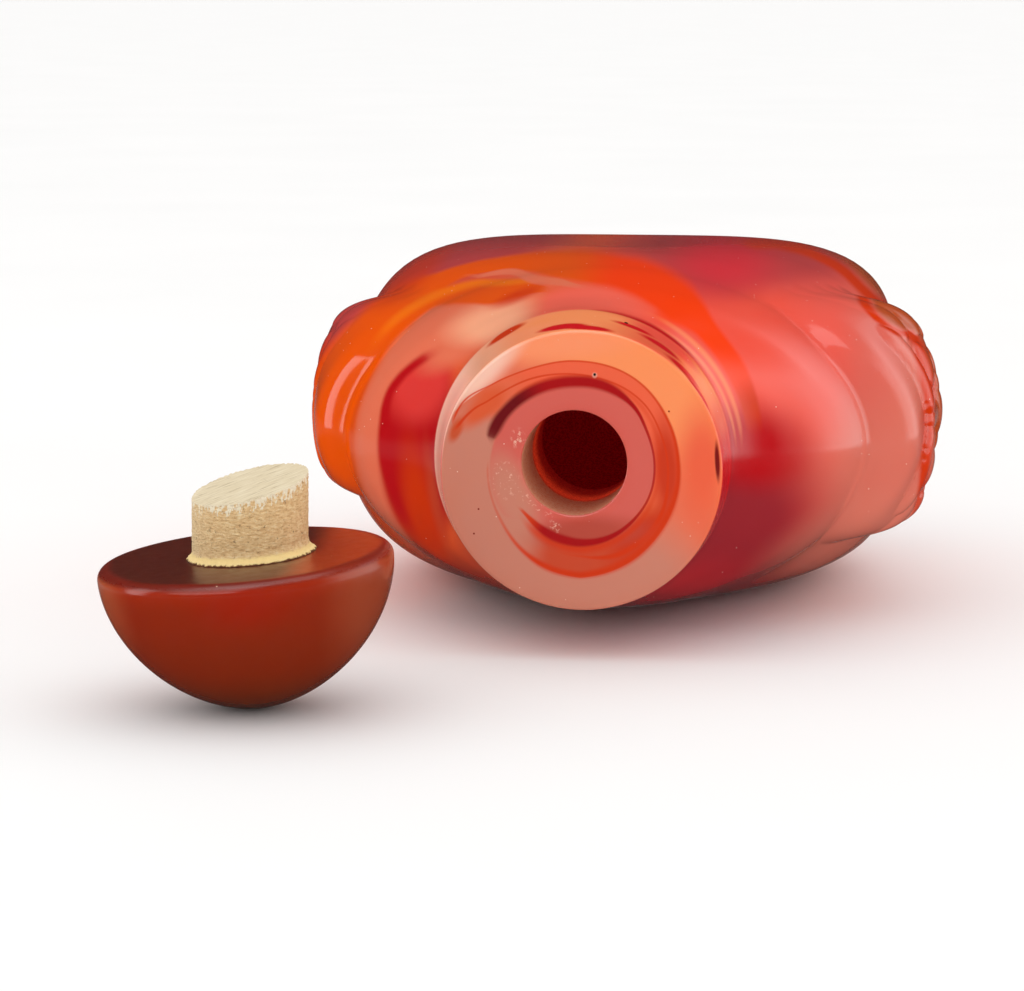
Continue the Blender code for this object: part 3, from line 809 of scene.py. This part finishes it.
def face_colour(stone):
    """Colours of the flat lip, from its rim to the mouth."""
    slant = stone.plus(stone.times(stone.across, 0.6), stone.times(stone.up, 0.8))
    slant = stone.math("DIVIDE", stone.plus(slant, 9.0), 18.0, clamp=True)
    base = stone.ramp(slant, (
        (0.05, "dusty rose"), (0.4, "dusty rose"), (0.62, "salmon"), (0.85, "light orange"),
    ))
    base = lay(stone.patch, base, (
        ("coral", (7.8, 0.4), (1.5, 3.4), 0, 0.7),
        ("warm peach", (-1.4, 8.2), (4.4, 1), 6, 0.7),
        ("pale pink", (-6.6, 6.2), (3.4, 1), 44),
    ))
    inside = stone.ramp(slant, (
        (0.2, "deep coral"), (0.36, "deep coral"), (0.5, "burnt orange"), (0.7, "coral"),
    ))
    inside = lay(stone.patch, inside, (
        ("dusty rose", (-5.6, -2.4), (1.9, 4), 28, 0.5),
        ("salmon", (-6.3, 3.4), (1.6, 2.6), -40),
        ("burnt orange", (-6.3, 4.1), (0.8, 1.5), -50),
        ("dark orange", (5.5, 0.2), (0.8, 3), 4),
        ("dark orange", (3.8, -4), (2.4, 0.8), 42),
    ))
    base = stone.mix(stone.within(FACE_EDGE, 0.04), base, inside)
    base = lay(stone.patch, base, (
        ("dusty rose", (-7.2, 1.2), (1.7, 3), -8, 0.3),
        ("brown orange", (-8.1, 2.5), (0.35, 0.8), -24, 0.5),
        ("burnt orange", (-6.4, 3.9), (0.65, 1.7), -50),
    ))
    base = lay(stone.band, base, (
        ("red orange", FACE_LINE, 0.9),
        ("red orange", MIDDLE_RING, 0.8),
    ))
    base = stone.mix(stone.within(INNER_EDGE, 0.1), base, "inner rose")
    base = lay(stone.patch, base, (
        ("inner brown", (0.4, -3.9), (3.2, 0.9), 4),
        ("dusty rose", (-4.4, -1.8), (1.3, 2.8), 24),
    ))
    base = stone.band(base, "red orange", CRIMSON_SHADE, soft=0.9)
    ring = stone.round_ramp((
        (-90, "ring crimson"), (110, "ring crimson"), (135, "dark crimson"), (165, "dark crimson"),
        (200, "brown orange"), (222, "red orange"), (240, "ring crimson"), (270, "ring crimson"),
    ))
    base = stone.band(base, ring, CRIMSON_RING, soft=0.5)
    base = stone.patch(base, "maroon", (8.74, 0.75), (0.15, 1.2), turn=3, soft=0.4)
    base = lay(stone.chips, base, (
        ("chip", (-4.1, 2), (0.4, 0.55), 0, 0.5),
        ("chip", (-4.9, -0.7), (0.8, 1.1), 20, 0.55),
        ("chip", (-3, -2.2), (1.5, 0.3), -36, 0.54),
        ("chip", (-1.6, -3.6), (0.4, 0.25), -50, 0.48),
    ))
    # A pit with a pale rim, and dark specks
    base = lay(stone.patch, base, (
        ("chip", (0.86, 6.2), (0.16, 0.17), 0, 0.4, 0.6),
        ("black", (0.86, 6.24), (0.09, 0.1), 0, 0.4),
    ))
    for place in ((5.6, 3.95), (-6.6, -2.6), (-6.9, -4.2)):
        base = stone.patch(base, "maroon", place, SPECK, soft=0.4)
    return base


def neck_colour(stone):
    """Colours round the side of the neck, with red streaks that are cut across by its turning."""
    base = stone.round_ramp((
        (-90, "rose beige"), (-50, "rose beige"), (-24, "mauve"), (-6, "lens crimson"), (8, "coral red"),
        (20, "coral"), (34, "light orange"), (60, "coral"), (90, "light orange"), (116, "warm peach"),
        (132, "peach"), (150, "pale pink"), (196, "pale pink"), (222, "dusty rose"), (250, "rose beige"),
    ))
    base = lay(stone.side_patch, base, (
        ("light orange", (92, 3.4), (24, 1), 0.6),
        ("lens crimson", (98, 1.05), (10, 0.6), 0.25),
        ("lens crimson", (87, 0.6), (9, 0.5), 0.3),
        ("coral pink", (57, 3.9), (15, 1.1), 0.4),
        ("lens crimson", (71, 3), (8, 0.4), 0.4),
        ("lens crimson", (58, 2.1), (9, 0.5), 0.4),
        ("lens crimson", (45, 1), (9, 0.6), 0.4),
        ("lens crimson", (34, 0.3), (8, 0.5), 0.4),
        ("red orange", (123, 4.1), (8, 0.7), 0.3),
        ("lens crimson", (2, 2.4), (3, 3), 0.6, 0.8),
        ("coral red", (-40, 0.8), (20, 0.5), 0.6),
        ("black", (74.5, 3.4), (0.8, 0.16), 0.3),
    ))
    return stone.side_patch(base, "lens crimson", (184, 0.15), (16, 0.16), soft=0.5, strength=0.7)


def agate():
    stone = Stone("banded_agate_stone", 5.0)
    face = face_colour(stone)
    neck = neck_colour(stone)
    body = body_colour(stone)
    colour = stone.tint(body, neck, stone.depth, 5.0, 4.6)
    on_face = stone.times(stone.soft(stone.depth, 0.3, 0.1), stone.soft(stone.radius, 9.12, 9.0))
    colour = stone.mix(on_face, colour, face)
    stone.surface(Base_Color=stone.dust(stone.straight, colour, "chalk", 0.5, 0.045, 0.1))
    fine = stone.noise(stone.straight, 0.9, 3, 0.5)
    stone.surface(Roughness=stone.soft(fine, 0.3, 0.75, 0.09, 0.13))
    stone.bump(fine, 0.03, 0.12 * MM)
    stone.see_into(0.2, RED_LIGHT, 1.0 * MM)
    return stone.material


def hollow_stone():
    """The drilled bore, ground pale for a few millimetres, and the stained hollow behind it, with a painted
    red glow.
    """
    stone = Recipe("hollow_stone")
    place = stone.place_mm(LIP)
    _, depth, _ = stone.parts(place)
    grain = stone.noise(place, 6.0, 4, 0.7)
    ground = stone.tint("bore beige", "brown orange", grain, 0.45, 0.62, 0.6)
    stained = stone.tint("bore stain", "dark stain", grain, 0.4, 0.6)
    edge = stone.plus(depth, stone.times(grain, 0.8))
    stone.surface(Base_Color=stone.tint(ground, stained, edge, 6.2, 6.5))
    # Painted glow: an emission stands in for the deep red light that comes through the walls into the
    # hollow, dimmer deeper in
    glow = stone.tint("painted near glow", "painted deep glow", depth, 6.4, 9.6)
    stone.surface(Emission_Color=glow, Emission_Strength=stone.soft(depth, 5.5, 7.0))
    stone.surface(Roughness=stone.soft(grain, 0.3, 0.7, 0.6, 0.8))
    stone.bump(grain, 0.3, 0.1 * MM)
    stone.see_into(0.1, RED_LIGHT, 0.6 * MM)
    return stone.material


def make_bottle():
    # The bottle's own up runs towards the mouth, which points along -Y
    place = Matrix.Translation((LIP.x, bottle_high.y, LIP.z)) @ Matrix.Rotation(math.radians(90), 4, "X")
    outside, inside = outer_rings() + lip_rings(), inner_rings()
    piece = skin("agate_bottle", outside + inside, place)
    piece.data.materials.append(agate())
    piece.data.materials.append(hollow_stone())
    # The small rounding at the edge of the bore still has the face's colours
    first_inside = (len(outside) + 1) * len(COLUMNS)
    last_inside = (len(outside) + len(inside) - 1) * len(COLUMNS)
    for face in piece.data.polygons:
        # The last face of all closes the floor of the hollow
        if first_inside <= face.index < last_inside or face.index == len(piece.data.polygons) - 1:
            face.material_index = 1
    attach(piece, "root")
    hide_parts("bottle")
    return piece


def stopper_turn():
    upside_down = Matrix.Rotation(math.radians(180), 4, "Y")
    lean = Matrix.Rotation(-STOPPER_LEAN, 4, "Y")
    nod = Matrix.Rotation(STOPPER_NOD, 4, "X")
    return lean @ nod @ upside_down


CAP_ANGLES = even_angles(180)
CAP_ROWS = 56


def cap_rings():
    """Rings of the cap in its own frame, with its flat side at height 0 and its dome up."""
    radius = CAP_RADIUS
    flat = radius - CAP_EDGE_ROUND
    rings = [circle(flat * k / 12, 0.0, angles=CAP_ANGLES) for k in range(1, 13)]
    for degrees in range(10, 91, 10):
        turn = math.radians(degrees)
        out = CAP_EDGE_ROUND * (1 - math.sin(turn))
        rings.append(circle(radius - out, CAP_EDGE_ROUND * (1 - math.cos(turn)), angles=CAP_ANGLES))
    for k in range(1, CAP_ROWS):
        turn = math.radians(90 * k / CAP_ROWS)
        out = math.cos(turn) ** (2 / CAP_FULLNESS)
        up = math.sin(turn) ** (2 / CAP_FULLNESS)
        rings.append(circle(radius * out, CAP_EDGE_ROUND + CAP_DOME * up, angles=CAP_ANGLES))
    return rings


def stopper_place():
    """The matrix from the cap's own frame to the model: it stands on its dome."""
    turn = stopper_turn()
    points = np.concatenate(cap_rings())
    lowest = (points @ np.array(turn.to_3x3()).T)[:, 2].min()
    root = Vector((LIP.x, bottle_high.y - HEIGHT, 0))
    aside = Vector((-STOPPER_BESIDE, -CAP_RADIUS - STOPPER_BEFORE, -lowest))
    return Matrix.Translation(root + aside) @ turn


STOPPER = stopper_place()


def up_stopper():
    """The way from the cap's flat side to the free end of the cork."""
    return STOPPER.to_3x3() @ Vector((0, 0, -1))


def cap_material():
    stone = Recipe("dark_agate_stone")
    place = stone.place_mm(STOPPER.translation)
    deep = stone.vector("DOT_PRODUCT", place, tuple(-up_stopper()))
    moved = stone.wander(place, 0.14, 1.6)
    across, through, _ = stone.parts(moved)
    dome = stone.ramp(stone.math("DIVIDE", deep, 9.4, clamp=True), (
        (0.0, "dome rim"), (0.2, "dome red"), (0.55, "dome brown"), (1.0, "dome top"),
    ))
    # A painted glow under the rim stands for light that has come down through the flat side
    aside = stone.times(stone.minus(across, 1.6), 0.5)
    off = stone.vector("LENGTH", stone.joined(aside, stone.minus(deep, 1.3), 0.0))
    # Painted reflections: the dome is lighter towards both sides, more on the left, as if mirroring the
    # studio
    dome = lay(stone.tint, dome, (
        ("left sheen", across, -5, -8.6, 0.8),
        ("right sheen", across, 5, 8, 0.6),
        ("rim glow", off, 2.2, 0.2, 0.7),
    ))
    flat = stone.ramp(stone.math("DIVIDE", stone.plus(across, 9.0), 18.0, clamp=True), (
        (0.0, "flat brown"), (0.66, "flat middle"), (0.78, "flat orange"), (0.92, "flat bright"),
        (1.0, "flat red"),
    ))
    rim = stone.vector("LENGTH", stone.joined(across, through, 0.0))
    flat = stone.tint(flat, "flat rim", rim, 7.9, 8.4, 0.8)
    colour = stone.tint(flat, dome, deep, 0.2, 0.5)
    colour = stone.dust(place, colour, "pale dust", 1.4, 0.06, 0.12)
    # Dust lies thicker on the flat beside the cork
    beside = stone.vector("DISTANCE", place, (-5.2, -2.6, 0.4))
    dusty = stone.dust(place, colour, "brown dust", 0.5, 0.07, 0.35)
    stone.surface(Base_Color=stone.tint(colour, dusty, beside, 2.6, 1.2))
    fine = stone.noise(place, 1.2, 4, 0.6)
    # The flat side was ground and has less polish than the dome
    dull = stone.soft(deep, 0.5, 0.1, 0.0, 0.14)
    stone.surface(Roughness=stone.plus(dull, stone.soft(fine, 0.3, 0.75, 0.14, 0.22)))
    stone.surface(Specular_IOR_Level=0.4)
    stone.bump(fine, 0.08, 0.12 * MM)
    stone.see_into(0.3, (1.0, 0.3, 0.15), 1.2 * MM)
    return stone.material


def make_cap():
    piece = skin("agate_cap", cap_rings(), STOPPER)
    piece.data.materials.append(cap_material())
    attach(piece, "root")
    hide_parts("stopper_cap")


CORK_COLUMNS = 240
CORK_ANGLES = even_angles(CORK_COLUMNS)
CORK_ROWS = 56
CORK_END_ROWS = 20
CORK_ROUGHNESS = 0.03 * MM
CORK_FRAY = 0.07 * MM

# The glued foot of the cork: height over the cap in millimetres, and the share of its flare
CORK_FOOT = ((0.02, 1.0), (0.12, 0.85), (0.24, 0.45), (0.42, 0.12))


def ragged(count, seed, waves):
    """Smooth random ups and downs between -1 and 1, once round."""
    draw = np.random.default_rng(seed)
    angles = even_angles(count)
    total = sum(np.sin(n * angles + draw.uniform(0, 2 * math.pi)) * draw.uniform(0.4, 1.0) for n in waves)
    return total / np.abs(total).max()


def low_side():
    """The way across the cap in which the cut slopes down."""
    return np.array((math.cos(CORK_SLANT_TOWARDS), math.sin(CORK_SLANT_TOWARDS)))


def cork_rings():
    """Rings of the cork in the cap's frame, from its glued end, up its side and over its slanted end."""
    radius = BORE_RADIUS + CORK_SQUEEZE
    draw = np.random.default_rng(11)

    def free_point(ring):
        length = CORK_LENGTH - math.tan(CORK_SLANT) * ((ring[:, :2] - CORK_OFF_CENTRE) @ low_side())
        return np.column_stack([ring[:, 0] - math.tan(CORK_LEAN) * length, ring[:, 1], -GLUE_LINE - length])

    rings = []
    fringe = CORK_FLARE * (0.85 + 0.3 * ragged(CORK_COLUMNS, 5, range(5, 70)))
    for height, share in CORK_FOOT:
        rings.append(circle(radius + share * fringe, -height * MM, CORK_OFF_CENTRE, CORK_ANGLES))
    waist = circle(radius, -GLUE_LINE - CORK_FLARE, CORK_OFF_CENTRE, CORK_ANGLES)
    free = free_point(waist)
    fray = CORK_FRAY * ragged(CORK_COLUMNS, 8, range(9, 90))
    for k in range(CORK_ROWS + 1):
        uneven = circle(1.0, 0.0, angles=CORK_ANGLES) * draw.uniform(-1, 1, (CORK_COLUMNS, 1))
        rings.append(waist + (free - waist) * k / CORK_ROWS + uneven * CORK_ROUGHNESS)
    rings[-1][:, 2] += fray
    for k in range(CORK_END_ROWS, 0, -1):
        ring = free_point(circle(radius * k / (CORK_END_ROWS + 0.4), 0.0, CORK_OFF_CENTRE, CORK_ANGLES))
        ring[:, 2] += fray * (k / CORK_END_ROWS) ** 12
        rings.append(ring)
    return rings


def cork_side():
    """The side of the plug: short fibres and pores, pale strands off the cut and golden glue at its foot."""
    cork = Recipe("cork_side")
    place = cork.place_mm(STOPPER.translation)
    height = cork.vector("DOT_PRODUCT", place, tuple(up_stopper()))
    x, y, z = cork.parts(place)
    lying = cork.noise(cork.joined(x, y, cork.times(z, 3.2)), 2.6, 5, 0.75)
    pores = cork.noise(place, 3.4, 4, 0.7)
    base = cork.ramp(lying, (
        (0.3, "cork shade"), (0.44, "cork tan"), (0.56, "cork"),
        (0.7, "cork light"),
    ))
    # Painted light: the side is lighter towards its left, as if lit from there
    base = cork.tint(base, "painted cork sheen", x, -1.0, -4.2, 0.55)
    base = cork.tint(base, "cork pore", pores, 0.6, 0.7, 0.75)
    # Strands of the pale cut end hang over its edge
    slope = STOPPER.to_3x3() @ Vector((*low_side(), 0))
    cut = cork.times(cork.vector("DOT_PRODUCT", place, tuple(slope)), math.tan(CORK_SLANT))
    below = cork.minus((CORK_LENGTH + GLUE_LINE) / MM, cork.plus(height, cut))
    strand = cork.noise(cork.joined(x, y, cork.times(z, 0.5)), 4.0, 3, 0.6)
    hang = cork.times(cork.soft(strand, 0.42, 0.72), 0.9)
    base = cork.tint(base, "cork strand", cork.minus(below, hang), 0.2, 0.0)
    uneven = cork.plus(height, cork.times(pores, 0.35))
    base = cork.tint(base, "glue", uneven, 0.75, 0.5)
    base = cork.tint(base, "glue edge", uneven, 0.3, 0.22)
    cork.surface(Base_Color=base)
    cork.surface(Roughness=cork.soft(lying, 0.3, 0.7, 0.75, 0.95))
    cork.bump(cork.plus(lying, strand), 0.6, 0.16 * MM)
    return cork.material


def cork_end():
    """The cut end: nearly white and smooth, with fine lines left by the blade."""
    cork = Recipe("cork_cut_end")
    place = cork.place_mm(STOPPER.translation)
    x, y, _ = cork.parts(cork.wander(place, 0.5, 0.5))
    along_cut = cork.plus(cork.times(x, 0.8), cork.times(y, 0.6))
    across_cut = cork.minus(cork.times(y, 0.8), cork.times(x, 0.6))
    drawn_out = cork.joined(cork.times(along_cut, 0.5), cork.times(across_cut, 5.0), 0.0)
    strokes = cork.noise(drawn_out, 1.2, 4, 0.6)
    base = cork.ramp(strokes, (
        (0.32, "cut shade"), (0.44, "cut tan"), (0.7, "cut light"),
    ))
    cork.surface(Base_Color=base)
    cork.surface(Roughness=cork.soft(strokes, 0.3, 0.7, 0.65, 0.85))
    cork.bump(strokes, 0.35, 0.1 * MM)
    return cork.material


def make_cork():
    piece = skin("cork_plug", cork_rings(), STOPPER)
    piece.data.materials.append(cork_side())
    piece.data.materials.append(cork_end())
    first_of_end = (len(CORK_FOOT) + CORK_ROWS) * CORK_COLUMNS
    last = len(piece.data.polygons) - 1
    for face in piece.data.polygons:
        # The two last faces close the glued end and the middle of the cut
        if face.index >= first_of_end and face.index != last - 1:
            face.material_index = 1
    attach(piece, "root")
    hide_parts("stopper_cork")


# Strength of the plain surroundings: as light on the object, and as mirrored by its polish
WORLD_STRENGTH = 1.12
MIRRORED_WORLD = 0.03
MIRRORED_BELOW = 0.14
MIRRORED_SCREEN = 1.45

# Softboxes: name, azimuth and elevation, distance, width and height, and brightness
SOFTBOXES = (
    ("left", -80, 14, 0.45, (0.14, 0.34), 2.6),
    ("front_left", -28, 54, 0.6, (0.55, 0.45), 1.6),
    ("front", -26, 23, 0.6, (0.5, 0.13), 2.2),
    ("top", 30, 78, 0.5, (0.5, 0.4), 1.6),
)


def make_camera():
    """The camera of the photograph: the middle of the lip falls on its pixel."""
    look = Vector((-math.sin(CAMERA_AZIMUTH), math.cos(CAMERA_AZIMUTH), 0)) * math.cos(CAMERA_DOWN)
    look.z = -math.sin(CAMERA_DOWN)
    right = Vector((math.cos(CAMERA_AZIMUTH), math.sin(CAMERA_AZIMUTH), 0))
    up = right.cross(look)
    aside = (LIP_AT[0] - FRAME_WIDTH / 2) / PIXELS_PER_MM * MM
    above = (FRAME_HEIGHT / 2 - LIP_AT[1]) / PIXELS_PER_MM * MM
    data = bpy.data.cameras.new("camera")
    data.sensor_width = 36.0
    data.lens = PIXELS_PER_MM * CAMERA_DISTANCE / MM * data.sensor_width / FRAME_WIDTH
    data.clip_start = 0.01
    data.clip_end = 10.0
    camera = added("camera", data)
    camera.location = LIP - look * CAMERA_DISTANCE - right * aside - up * above
    camera.rotation_euler = Matrix((right, up, -look)).transposed().to_euler()
    bpy.context.scene.camera = camera


def make_floor():
    size = 12.0
    mesh = bpy.data.meshes.new("floor")
    corners = [(-size, -size, 0), (size, -size, 0), (size, size, 0), (-size, size, 0)]
    mesh.from_pydata(corners, [], [(0, 1, 2, 3)])
    floor = added("floor", mesh)
    recipe = Recipe("pale_floor")
    grain = recipe.noise(recipe.place_mm(), 0.02, 2)
    recipe.surface(Base_Color=recipe.mix(grain, "floor shade", "floor light"))
    recipe.surface(Roughness=recipe.soft(grain, 0, 1, 0.8, 0.9))
    mesh.materials.append(recipe.material)
    # The stone mirrors the dim side of the studio and not the pale floor
    floor.visible_glossy = False


def softbox(name, azimuth, elevation, distance, size, brightness):
    """A rectangular light that faces the bottle. Its azimuth is 0 at the front and 90 at the right."""
    turn = math.radians(azimuth)
    rise = math.radians(elevation)
    away = Vector((math.sin(turn) * math.cos(rise), -math.cos(turn) * math.cos(rise), math.sin(rise)))
    data = bpy.data.lights.new(name, "AREA")
    data.shape = "RECTANGLE"
    data.size, data.size_y = size
    data.energy = brightness * math.pi * size[0] * size[1]
    light = added(name, data)
    light.location = Vector((LIP.x, 0, LIP.z)) + away * distance
    # The plain surroundings light the object evenly, and the softboxes show in its polish
    light.visible_diffuse = False
    light.rotation_euler = away.to_track_quat("Z", "Y").to_euler()


class Surroundings(Recipe):
    """The plain studio around the object."""

    def __init__(self):
        world = bpy.data.worlds.new("studio")
        bpy.context.scene.world = world
        world.use_nodes = True
        self.tree = world.node_tree
        self.background = self.tree.nodes["Background"]


def make_world():
    """White for the camera and for shading. Polished stone mirrors a large soft screen at the right."""
    studio = Surroundings()
    x, y, z = studio.parts(studio.node("ShaderNodeTexCoord").outputs["Generated"])
    sides = studio.times(studio.soft(x, 0.16, 0.46), studio.soft(y, -0.34, 0.1), studio.soft(y, 0.86, 0.5))
    screen = studio.times(sides, studio.soft(z, -0.16, -0.08), studio.soft(z, 0.76, 0.5), MIRRORED_SCREEN)
    below = studio.times(studio.soft(z, -0.04, -0.12), studio.soft(z, -0.26, -0.18), MIRRORED_BELOW)
    mirrored = studio.plus(MIRRORED_WORLD, below, screen)
    polish = studio.node("ShaderNodeLightPath").outputs["Is Glossy Ray"]
    values = {"Value": polish, "To Min": WORLD_STRENGTH, "To Max": mirrored}
    glossy = studio.node("ShaderNodeMapRange", values)
    studio.background.inputs["Color"].default_value = (1, 1, 1, 1)
    studio.feed(studio.background.inputs["Strength"], glossy.outputs["Result"])


def make_lights():
    make_world()
    for row in SOFTBOXES:
        softbox(*row)


make_camera()
make_floor()
make_lights()
make_bottle()
make_cap()
make_cork()
bpy.context.scene.view_settings.view_transform = "Standard"
